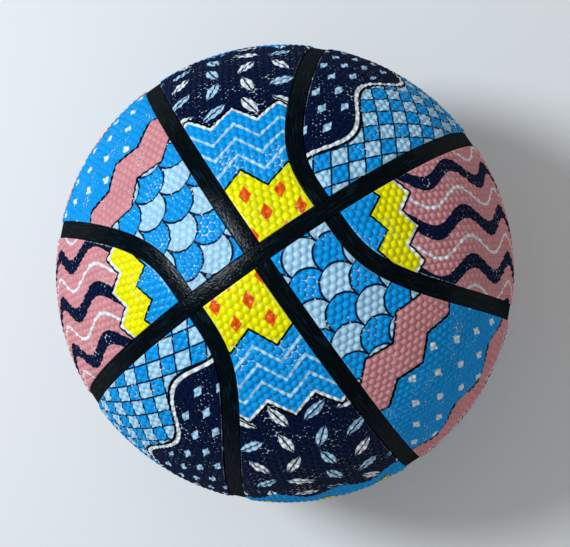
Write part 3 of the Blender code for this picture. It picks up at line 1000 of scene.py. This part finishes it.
@dataclass
class CoverPanel:
    """One moulded panel shape: a closed shell with a finely divided face, used at four places.

    Edge steps are the millimetres from the edge at which the first lines of the face run.
    """

    layout: SeamLayout
    kind: PanelKind
    columns: int
    rows: int
    floor_columns: int = 40
    floor_rows: int = 12
    shoulder: float = 0.17
    edge_steps: tuple[float, ...] = (0.0, 0.15, 0.35, 0.6, 0.9, 1.3)

    def spaced(self, edge: np.ndarray, count: int) -> tuple[np.ndarray, np.ndarray]:
        """Choose points along an edge, close together at its ends and even between them.

        Args:
            edge: Closely spaced unit vectors along the edge.
            count: Number of steps.

        Returns:
            The chosen unit vectors, and the share of the way at each.
        """
        travelled = distances_along(edge) * self.layout.ball_radius
        border = np.array(self.edge_steps) * MM
        even = np.linspace(border[-1], travelled[-1] - border[-1], count + 3 - 2 * len(border))
        chosen = np.concatenate([border[:-1], even, travelled[-1] - border[-2::-1]])
        return points_at(edge, travelled, chosen), chosen / travelled[-1]

    def edges(self) -> list[np.ndarray]:
        """The panel's four edges.

        Returns:
            Points along the first side, the second side, the lower end and the upper end.
        """
        layout = self.layout
        edge = layout.panel_edge
        if self.kind is PanelKind.OUTER:
            first = layout.cross_edge(edge)
            second = layout.oval_edge(edge)
            return [
                first,
                second,
                layout.long_edge(edge, first[0], second[0]),
                layout.long_edge(edge, first[-1], second[-1]),
            ]
        oval = layout.oval_edge(-edge)
        return [
            layout.long_edge(edge, oval[0], oval[-1]),
            layout.oval_edge(-edge, self.shoulder, 1 - self.shoulder),
            layout.oval_edge(-edge, 0, self.shoulder),
            layout.oval_edge(-edge, 1, 1 - self.shoulder),
        ]

    def surface(self) -> np.ndarray:
        """Grid of unit vectors over the panel, blended from its four edges.

        Returns:
            Array of columns, rows and axes.
        """
        first, second, lower, upper = self.edges()
        (first, u1), (second, u2) = self.spaced(first, self.columns), self.spaced(second, self.columns)
        (lower, v1), (upper, v2) = self.spaced(lower, self.rows), self.spaced(upper, self.rows)
        u = ((u1 + u2) / 2)[:, None, None]
        v = ((v1 + v2) / 2)[None, :, None]
        sides = (1 - v) * first[:, None] + v * second[:, None]
        ends = (1 - u) * lower[None] + u * upper[None]
        start = (1 - v) * first[0] + v * second[0]
        finish = (1 - v) * first[-1] + v * second[-1]
        points = sides + ends - (1 - u) * start - u * finish
        return points / np.linalg.norm(points, axis=-1, keepdims=True)

    def panel_coordinates(self, points: np.ndarray) -> np.ndarray:
        """Millimetres along and across the panel, from a map that keeps small shapes true.

        Args:
            points: Unit vectors.

        Returns:
            Distance along the panel's middle line, distance across it, and 0.
        """
        bearing = self.kind.value
        forward = points @ np.array([math.cos(bearing), math.sin(bearing), 0])
        aside = np.arcsin(points @ np.array([-math.sin(bearing), math.cos(bearing), 0]))
        along = np.arctan2(points[..., 2], forward)
        across = np.log(np.tan(math.pi / 4 + aside / 2))
        return np.stack([along, across, np.zeros_like(along)], axis=-1) * self.layout.ball_radius / MM

    def shell(self) -> tuple[np.ndarray, np.ndarray, list[list[int]]]:
        """Points and faces of the closed shell: a fine face, a coarse floor and side walls.

        Returns:
            Unit vectors of the face, those of the floor, and the corners of each polygon.
        """
        grid = self.surface()
        wide, high = self.columns // self.floor_columns, self.rows // self.floor_rows
        floor = grid[::wide, ::high]
        face_points, floor_points = grid.reshape(-1, 3), floor.reshape(-1, 3)
        index = np.arange(len(face_points)).reshape(grid.shape[:2])
        below = np.arange(len(floor_points)).reshape(floor.shape[:2]) + len(face_points)
        faces = []
        for net in (index, below):
            quads = np.stack([net[:-1, :-1], net[1:, :-1], net[1:, 1:], net[:-1, 1:]], axis=-1)
            faces += quads.reshape(-1, 4).tolist()
        walls = [
            (index[:, 0], below[:, 0], wide),
            (index[:, -1], below[:, -1], wide),
            (index[0], below[0], high),
            (index[-1], below[-1], high),
        ]
        for top_line, floor_line, step in walls:
            for piece in range(len(floor_line) - 1):
                top = top_line[piece * step:(piece + 1) * step + 1]
                faces.append([*top.tolist(), int(floor_line[piece + 1]), int(floor_line[piece])])
        return face_points, floor_points, faces

    def mesh(self) -> Mesh:
        """Build the closed shell, and mark it for the trees.

        Returns:
            Mesh with the panel coordinates, with marks on the face and on its rim, and with a flat map.
        """
        face_points, floor_points, faces = self.shell()
        face, floor = face_points * self.layout.ball_radius, floor_points * self.layout.panel_floor
        mesh = bpy.data.meshes.new(f"{self.kind.name.lower()}_panel")
        mesh.from_pydata(np.concatenate([face, floor]).tolist(), [], faces)
        builder = bmesh.new()
        builder.from_mesh(mesh)
        bmesh.ops.recalc_face_normals(builder, faces=builder.faces)
        builder.to_mesh(mesh)
        builder.free()
        mesh.shade_smooth()
        rim = np.zeros((self.columns + 1, self.rows + 1))
        rim[[0, -1], :] = 1
        rim[:, [0, -1]] = 1
        for name, values in {"face": np.ones(rim.size), "rim": rim.ravel()}.items():
            marks = np.concatenate([values, np.zeros(len(floor_points))])
            mesh.attributes.new(name, "FLOAT", "POINT").data.foreach_set("value", marks)
        places = self.panel_coordinates(np.concatenate([face_points, floor_points]))
        stored = mesh.attributes.new(PANEL_COORDINATES, "FLOAT_VECTOR", "POINT")
        stored.data.foreach_set("vector", places.ravel())
        self.lay_out(mesh)
        return mesh

    def lay_out(self, mesh: Mesh) -> None:
        """Give the panel a flat map: two halves of its face, its floor and its four walls.

        Args:
            mesh: The panel's mesh, with its face first, then its floor and its walls.
        """
        columns, rows = self.columns, self.rows
        shares = []
        for wide, high in ((columns, rows), (self.floor_columns, self.floor_rows)):
            u, v = np.meshgrid(np.linspace(0, 1, wide + 1), np.linspace(0, 1, high + 1), indexing="ij")
            shares.append(np.stack([u.ravel(), v.ravel()], axis=-1))
        low = np.arange(len(shares[0]) + len(shares[1])) >= len(shares[0])
        shares = np.concatenate(shares)

        # Boxes on the map from the bottom up: 0 and 1 are the face's halves, 2 its floor, 3 to 6 its walls
        margin = 0.005
        bases = np.array([margin, 0.445, 0.885, 0.935, 0.951, 0.967, 0.983])
        heights = np.array([0.43, 0.43, 0.04, 0.01, 0.01, 0.01, 0.01])
        half = np.repeat(np.arange(columns) >= columns // 2, rows)
        floor_faces = self.floor_columns * self.floor_rows
        walls = np.repeat(range(4), [self.floor_columns] * 2 + [self.floor_rows] * 2)
        box = np.concatenate([half.astype(int), np.full(floor_faces, 2), walls + 3])

        # Each corner's place in its box, where a wall runs lengthwise or crosswise and from top to floor
        sides = np.empty(len(mesh.polygons), int)
        mesh.polygons.foreach_get("loop_total", sides)
        box = np.repeat(box, sides)
        corners = np.empty(len(mesh.loops), int)
        mesh.loops.foreach_get("vertex_index", corners)
        lengthwise, crosswise = shares[corners].T
        along = np.select(
            [box == 0, box == 1, box >= 5], [lengthwise * 2, lengthwise * 2 - 1, crosswise], lengthwise)
        up = np.where(box > 2, low[corners], crosswise)
        flat = np.stack([margin + along * (1 - 2 * margin), bases[box] + up * heights[box]], axis=-1)
        mesh.uv_layers.new(name=EXPORT_MAP).uv.foreach_set("vector", flat.ravel())


@dataclass
class Cover:
    """The eight printed panels of the ball, with the sizes of their smooth rims in millimetres."""

    layout: SeamLayout
    pebbles: Pebbles = Pebbles()
    rim_depth: float = 0.4
    rim_width: float = 0.6
    rim_fade: float = 0.9
    edge_radius: float = 0.5
    unevenness: float = 0.35
    push_size: float = 8.0
    push_reach: float = 4.0
    seed_step: float = 31.0

    def pebble_tree(self) -> NodeTree:
        """Tree that raises pebbles on a panel's face, and rounds off its smooth rim.

        Returns:
            Tree with the pebbles' sizes in millimetres as named inputs.
        """
        number = "NodeSocketFloat"
        tree, sizes = new_tree("pebbled_face", {
            "Pitch": number, "Radius": number, "Height": number, "Looseness": number, "Unevenness": number,
            "Rim Depth": number, "Rim Width": number, "Rim Fade": number, "Edge Radius": number,
            "Seed": number, "Material": "NodeSocketMaterial",
        })
        node = partial(add, tree)
        given = sizes.outputs
        place = node(STORED, PANEL_COORDINATES, data_type="FLOAT_VECTOR")
        rim = node(STORED, "rim", data_type="FLOAT")
        face = node(STORED, "face", data_type="FLOAT")
        on_rim = node("GREATER_THAN", rim, 0.99)
        rim_line = node("GeometryNodeSeparateGeometry", given["Geometry"], on_rim, domain="EDGE")
        to_rim = node("GeometryNodeProximity", rim_line, target_element="EDGES")
        inset = node("DIVIDE", to_rim.outputs["Distance"], MM)

        # A slow noise pushes the staggered grid about, and each pebble strays a little from its place
        seeded = node("ShaderNodeCombineXYZ", None, None, given["Seed"])
        noise = node(NOISE, node(VECTOR, place, seeded, operation="ADD"), 1 / self.push_size, 1.0)
        push = node(VECTOR, noise.outputs["Color"], (0.5, 0.5, 0.5), operation="SUBTRACT")
        far = node("MULTIPLY", given["Unevenness"], self.push_reach)
        push = node(VECTOR, push, named={"Scale": far}, operation="SCALE")
        pushed = node(VECTOR, place, push, operation="ADD")
        share = node("DIVIDE", 1.0, given["Pitch"])
        spot = node(VECTOR, pushed, named={"Scale": share}, operation="SCALE")
        reach = node("MULTIPLY", self.pebbles.reach(tree, spot, given["Looseness"]), given["Pitch"])
        dome = self.pebbles.dome(tree, node("DIVIDE", reach, given["Radius"]))
        sunk = node("MULTIPLY", node("SUBTRACT", dome, 1.0), given["Height"])

        # The rim is smooth and its edge is rounded
        inner = node("ADD", given["Rim Width"], given["Rim Fade"])
        fade = node(RANGE, inset, given["Rim Width"], inner, 0.0, 1.0, interpolation_type="SMOOTHSTEP")
        level = node(MIX, fade, node("MULTIPLY", given["Rim Depth"], -1.0), sunk)
        short = node("SUBTRACT", 1.0, node("DIVIDE", inset, given["Edge Radius"]))
        short = node("MAXIMUM", short, 0.0)
        arc = node("SQRT", node("SUBTRACT", 1.0, node("MULTIPLY", short, short)))
        fall = node("MULTIPLY", node("SUBTRACT", arc, 1.0), given["Edge Radius"])
        level = node("MULTIPLY", node("ADD", level, fall), MM)
        outward = node(VECTOR, node("GeometryNodeInputPosition"), operation="NORMALIZE")
        move = node(VECTOR, outward, named={"Scale": level}, operation="SCALE")
        raised = node("GREATER_THAN", face, 0.5)
        shaped = node("GeometryNodeSetPosition", given["Geometry"], raised, None, move)
        axes = node("ShaderNodeSeparateXYZ", spot).outputs
        spot = node("ShaderNodeCombineXYZ", axes["X"], axes["Y"], inset)
        marked = node(STORE, shaped, None, PEBBLE_GRID, spot, data_type="FLOAT_VECTOR", domain="POINT")
        whole = node("GeometryNodeRealizeInstances", marked)
        node("NodeGroupOutput", node("GeometryNodeSetMaterial", whole, None, given["Material"]))
        return tree

    def build(self) -> None:
        """Build and dress the eight panels."""
        tree = self.pebble_tree()
        outer = CoverPanel(self.layout, PanelKind.OUTER, columns=660, rows=144, floor_columns=44)
        inner = CoverPanel(self.layout, PanelKind.INNER, columns=560, rows=168)
        designs = {
            (PanelKind.OUTER, True): (Design.LEAVES, "cover_navy"),
            (PanelKind.OUTER, False): (Design.SCALLOPS, "cover_blue"),
            (PanelKind.INNER, True): (Design.HARLEQUIN, "cover_sky"),
            (PanelKind.INNER, False): (Design.WAVES, "cover_pink"),
        }
        finishes = {design: PrintedRubber(design, self.pebbles).material() for design, _ in designs.values()}
        for shape in (outer, inner):
            base = shape.mesh()
            for seed, place in enumerate(Place):
                name = f"{shape.kind.name.lower()}_panel_{place.name.lower()}"
                design, slot = designs[shape.kind, place in (Place.RIGHT_BACK, Place.LEFT_FRONT)]
                panel = new_object(f"{name}_pebbled", base.copy())
                run_tree(panel, tree, {
                    "Pitch": self.pebbles.pitch, "Radius": self.pebbles.radius,
                    "Height": self.pebbles.height, "Looseness": self.pebbles.looseness,
                    "Unevenness": self.unevenness, "Rim Depth": self.rim_depth, "Rim Width": self.rim_width,
                    "Rim Fade": self.rim_fade, "Edge Radius": self.edge_radius,
                    "Seed": self.seed_step * seed, "Material": finishes[design],
                })
                panel.data.transform(place.turn)
                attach(panel, "ball")
                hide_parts(name)
                log.info("%s: %d faces, %s print", panel.name, len(panel.data.polygons), design.value)


@dataclass
class SeamStrips:
    """The recessed rubber strips between the panels, with their sizes in millimetres."""

    layout: SeamLayout
    side_gap: float = 0.3
    corner_radius: float = 0.35
    corner_steps: int = 4
    point_spacing: float = 0.8
    mouth_radius: float = 3.0
    mouth_chamfer: float = 0.35
    mouth_steps: int = 96
    cutter_depth: float = 5.0
    cutter_height: float = 3.0

    def strip_tree(self) -> NodeTree:
        """Tree that sweeps a rounded flat section along a seam, square to the ball.

        Returns:
            Tree with the section's sizes as named inputs.
        """
        number = "NodeSocketFloat"
        tree, sizes = new_tree("seam_strip", {
            "Width": number, "Thickness": number, "Corner Radius": number, "Corner Steps": "NodeSocketInt",
            "Material": "NodeSocketMaterial",
        })
        node = partial(add, tree)
        given = sizes.outputs
        on_points = {"data_type": "FLOAT", "domain": "POINT"}
        path = node("GeometryNodeMeshToCurve", given["Geometry"])
        outward = node(VECTOR, node("GeometryNodeInputPosition"), operation="NORMALIZE")
        path = node("GeometryNodeSetCurveNormal", path, None, outward, mode="FREE")
        travelled = node("GeometryNodeSplineParameter").outputs["Length"]
        path = node(STORE, path, None, "along", travelled, **on_points)
        section = node("GeometryNodeCurvePrimitiveQuadrilateral", given["Thickness"], given["Width"])
        corners = given["Corner Steps"], given["Corner Radius"]
        section = node("GeometryNodeFilletCurve", section, *corners, True, mode="POLY")
        aside = node("ShaderNodeSeparateXYZ", node("GeometryNodeInputPosition")).outputs["Y"]
        section = node(STORE, section, None, "across", aside, **on_points)
        swept = node("GeometryNodeCurveToMesh", path, section, named={"Fill Caps": True})
        along = node("DIVIDE", node(STORED, "along", data_type="FLOAT"), MM)
        across = node("DIVIDE", node(STORED, "across", data_type="FLOAT"), MM)
        place = node("ShaderNodeCombineXYZ", along, across, 0.0)
        swept = node(STORE, swept, None, STRIP_COORDINATES, place, data_type="FLOAT_VECTOR", domain="POINT")
        whole = node("GeometryNodeRealizeInstances", swept)
        node("NodeGroupOutput", node("GeometryNodeSetMaterial", whole, None, given["Material"]))
        return tree

    def path_mesh(self, name: str, points: np.ndarray, closed: bool) -> Mesh:
        """Line of even points at the middle of the strip's thickness.

        Args:
            name: Name of the mesh.
            points: Closely spaced unit vectors along the seam.
            closed: Whether the last point repeats the first.

        Returns:
            Mesh of points and edges.
        """
        radius = (self.layout.strip_radius + self.layout.strip_floor) / 2
        travelled = distances_along(points) * radius
        count = round(travelled[-1] / (self.point_spacing * MM))
        even = np.linspace(0, travelled[-1], count + 1)
        line = radius * points_at(points, travelled, even)
        edges = [(start, start + 1) for start in range(count)]
        if closed:
            line = line[:-1]
            edges[-1] = (count - 1, 0)
        mesh = bpy.data.meshes.new(name)
        mesh.from_pydata(line.tolist(), edges, [])
        return mesh

    def cut_mouth(self, strip: Object) -> None:
        """Cut the chamfered valve mouth through the back strip.

        Args:
            strip: The back half of the cross seam's strip.
        """
        radius = self.mouth_radius
        wide = radius + self.mouth_chamfer
        top = self.layout.strip_radius / MM
        profile = [
            (0, top - self.cutter_depth),
            (radius, top - self.cutter_depth),
            (radius, top - self.mouth_chamfer),
            (wide, top),
            (wide, top + self.cutter_height),
            (0, top + self.cutter_height),
        ]
        profile = [(reach * MM, height * MM) for reach, height in profile]
        cutter = new_object("mouth_cutter", turned_mesh("mouth_cutter", profile, self.mouth_steps))
        cut = strip.modifiers.new("mouth", "BOOLEAN")
        cut.object = cutter
        cut.operation = "DIFFERENCE"
        cut.solver = "EXACT"
        set_plain_mesh(strip)
        bpy.data.objects.remove(cutter)

    def build(self) -> None:
        """Build and dress the seven strips."""
        layout = self.layout
        tree = self.strip_tree()
        rubber = SeamRubber().material()
        angles = np.linspace(0, math.tau, 4 * layout.samples)
        ring = np.stack([np.sin(angles), np.zeros_like(angles), -np.cos(angles)], axis=-1)
        cross = layout.cross_edge(0)
        oval = layout.oval_edge(0)
        routes = {
            "long_seam_strip": (ring, True, Place.RIGHT_BACK),
            "cross_seam_strip_back": (cross, False, Place.RIGHT_BACK),
            "cross_seam_strip_front": (cross, False, Place.LEFT_FRONT),
        }
        for place in Place:
            routes[f"oval_seam_strip_{place.name.lower()}"] = (oval, False, place)
        width = 2 * (layout.panel_edge * layout.strip_radius - self.side_gap * MM)
        thickness = layout.strip_radius - layout.strip_floor
        for name, (points, closed, place) in routes.items():
            strip = new_object(f"{name}_rounded", self.path_mesh(name, points, closed))
            run_tree(strip, tree, {
                "Width": width, "Thickness": thickness, "Corner Radius": self.corner_radius * MM,
                "Corner Steps": self.corner_steps, "Material": rubber,
            })
            strip.data.transform(place.turn)
            if name == "cross_seam_strip_back":
                self.cut_mouth(strip)
            strip.data.shade_smooth()
            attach(strip, "ball")
            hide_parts(name)
            log.info("%s: %d faces", strip.name, len(strip.data.polygons))


@dataclass
class Valve:
    """The push-fit valve plug, with its sizes in millimetres, and the housing that it sits in."""

    finish: MouldedRubber = MouldedRubber("moulded_valve_rubber", "#191A1B", "#2B2D2E", (0.43, 0.56), 0.4)
    head_radius: float = 2.7
    head_height: float = 2.2
    shank_radius: float = 2.1
    needle_radius: float = 0.95
    needle_depth: float = 13.0
    funnel_radius: float = 1.5
    funnel_depth: float = 0.8
    tip_radius: float = 0.7
    needle_cone: float = 0.3
    funnel_lip: float = 0.1
    fillet: float = 0.35
    arc_steps: int = 5
    turn_steps: int = 64

    def rounded(self, corner: tuple[float, float], radius: float, start: float) -> list[tuple[float, float]]:
        """Quarter round on a profile corner.

        Args:
            corner: The sharp corner, in millimetres.
            radius: Radius of the round.
            start: Angle at which the round starts, to run a quarter turn clockwise.

        Returns:
            Points of the round.
        """
        middle = start - math.pi / 4
        centre = (
            corner[0] - radius * round(math.cos(middle) * math.sqrt(2)),
            corner[1] - radius * round(math.sin(middle) * math.sqrt(2)),
        )
        angles = [start - math.pi / 2 * step / self.arc_steps for step in range(self.arc_steps + 1)]
        return [(centre[0] + radius * math.cos(a), centre[1] + radius * math.sin(a)) for a in angles]

    def plug_profile(self) -> list[tuple[float, float]]:
        """Profile of the plug, from the bottom of the needle hole to the tip.

        Returns:
            Points as distance from the axis and place along it, in metres.
        """
        low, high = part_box("valve_plug")
        face, tip = high[1] / MM, low[1] / MM
        shoulder = face - self.head_height
        lip = self.funnel_lip
        profile = [
            (0, face - self.needle_depth),
            (self.needle_radius, face - self.needle_depth + self.needle_cone),
            (self.needle_radius, face - self.funnel_depth),
            (self.funnel_radius - lip, face - lip),
            (self.funnel_radius + lip, face),
            *self.rounded((self.head_radius, face), self.fillet, math.pi / 2),
            *self.rounded((self.head_radius, shoulder), self.fillet, 0),
            (self.shank_radius, shoulder),
            *self.rounded((self.shank_radius, tip), self.tip_radius, 0),
            (0, tip),
        ]
        return [(radius * MM, height * MM) for radius, height in profile]

    def build(self) -> None:
        """Build the plug, and dress it and the housing."""
        rubber = self.finish.material()
        shape = turned_mesh("valve_plug", self.plug_profile(), self.turn_steps)
        plug = new_object("valve_plug_rounded", shape)
        plug.data.materials.append(rubber)
        plug.data.shade_smooth()
        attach(plug, "valve")
        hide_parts("valve_plug")
        log.info("%s: %d faces", plug.name, len(plug.data.polygons))
        dress_node("valve_housing", rubber)


@dataclass
class WallLayers:
    """The layers under the cover, which keep their CAD shapes."""

    carcass: MouldedRubber = MouldedRubber(
        "calendered_carcass_rubber", "#1C1C1E", "#2A2A2C", (0.57, 0.70), 0.6)
    thread_winding: WoundThread = WoundThread()
    bladder: MouldedRubber = MouldedRubber(
        "butyl_bladder_rubber", "#141416", "#232326", (0.47, 0.60), 0.8)

    def dress(self) -> None:
        """Give each layer its material."""
        dress_node("carcass", self.carcass.material())
        dress_node("thread_winding", self.thread_winding.material())
        dress_node("bladder", self.bladder.material())


@dataclass
class Studio:
    """Pale floor, soft light and the camera, whose axes are fitted to the photograph's angle.

    Places and lengths are metres, and the key's place is given in the camera's own axes.
    """

    view: tuple[float, float, float] = (0.04797, -0.11367, 0.99236)
    right: tuple[float, float, float] = (0.81975, -0.56317, -0.10414)
    up: tuple[float, float, float] = (0.57071, 0.81848, 0.06616)
    distance: float = 0.72
    lens: float = 85.68
    sensor_width: float = 36.0
    near: float = 0.01
    floor_size: float = 16.0
    floor_colour: str = "#E9E9E7"
    floor_roughness: float = 0.9
    key_place: tuple[float, float, float] = (-0.67, 0.22, 0.84)
    key_power: float = 9.8
    key_colour: str = "#E9F4FF"
    key_distance: float = 1.1
    key_size: float = 0.28
    fill: float = 0.45
    mirrored_fill: float = 0.1
    fill_colour: str = "#F4F6F8"

    def axes(self) -> Matrix:
        """The camera's axes as a turn from the camera's own frame."""
        return Matrix((self.right, self.up, self.view)).transposed()

    def floor(self) -> None:
        """Lay a pale paper floor under the ball."""
        builder = bmesh.new()
        bmesh.ops.create_grid(builder, x_segments=2, y_segments=2, size=self.floor_size / 2)
        mesh = bpy.data.meshes.new("floor")
        builder.to_mesh(mesh)
        builder.free()
        mesh.transform(Matrix.Translation((0, 0, CAD_BOX[0][2])))
        material, _, shader = new_material("matt_backdrop_paper")
        shader.inputs["Base Color"].default_value = linear(self.floor_colour)
        shader.inputs["Roughness"].default_value = self.floor_roughness
        mesh.materials.append(material)
        new_object("floor", mesh)

    def camera(self) -> None:
        """Set up the camera at the photograph's angle."""
        data = bpy.data.cameras.new("camera")
        data.lens = self.lens
        data.sensor_fit = "HORIZONTAL"
        data.sensor_width = self.sensor_width
        data.clip_start = self.near
        camera = bpy.data.objects.new("camera", data)
        camera.matrix_world = Matrix.Translation(Vector(self.view) * self.distance) @ self.axes().to_4x4()
        bpy.context.scene.collection.objects.link(camera)
        bpy.context.scene.camera = camera

    def lights(self) -> None:
        """Set up one soft key light from the upper left, and an even fill from all round."""
        towards_key = (self.axes() @ Vector(self.key_place)).normalized()
        data = bpy.data.lights.new("key", "AREA")
        data.shape = "DISK"
        data.size = self.key_size
        data.energy = self.key_power
        data.color = linear(self.key_colour)[:3]
        key = bpy.data.objects.new("key", data)
        aim = towards_key.to_track_quat("Z", "Y").to_matrix().to_4x4()
        key.matrix_world = Matrix.Translation(towards_key * self.key_distance) @ aim
        bpy.context.scene.collection.objects.link(key)
        world = bpy.data.worlds.new("studio")
        world.use_nodes = True
        background = world.node_tree.nodes["Background"]
        background.inputs["Color"].default_value = linear(self.fill_colour)
        # The gloss mirrors a dimmer room than the one that fills the shade, as between dark studio flags
        glossy = add(world.node_tree, "ShaderNodeLightPath").outputs["Is Glossy Ray"]
        strength = add(world.node_tree, RANGE, glossy, 0.0, 1.0, self.fill, self.mirrored_fill)
        world.node_tree.links.new(strength.outputs["Result"], background.inputs["Strength"])
        bpy.context.scene.world = world
        bpy.context.scene.view_settings.view_transform = "Standard"

    def build(self) -> None:
        """Make the floor, the camera and the lights."""
        self.floor()
        self.camera()
        self.lights()
        log.info("studio: floor, camera, key light and fill")


def main() -> None:
    """Build every sub-assembly in order."""
    logging.basicConfig(level=logging.INFO, format="%(message)s")
    layout = SeamLayout.from_frame()
    Studio().build()
    Cover(layout).build()
    SeamStrips(layout).build()
    Valve().build()
    WallLayers().dress()


if __name__ == "__main__":
    main()
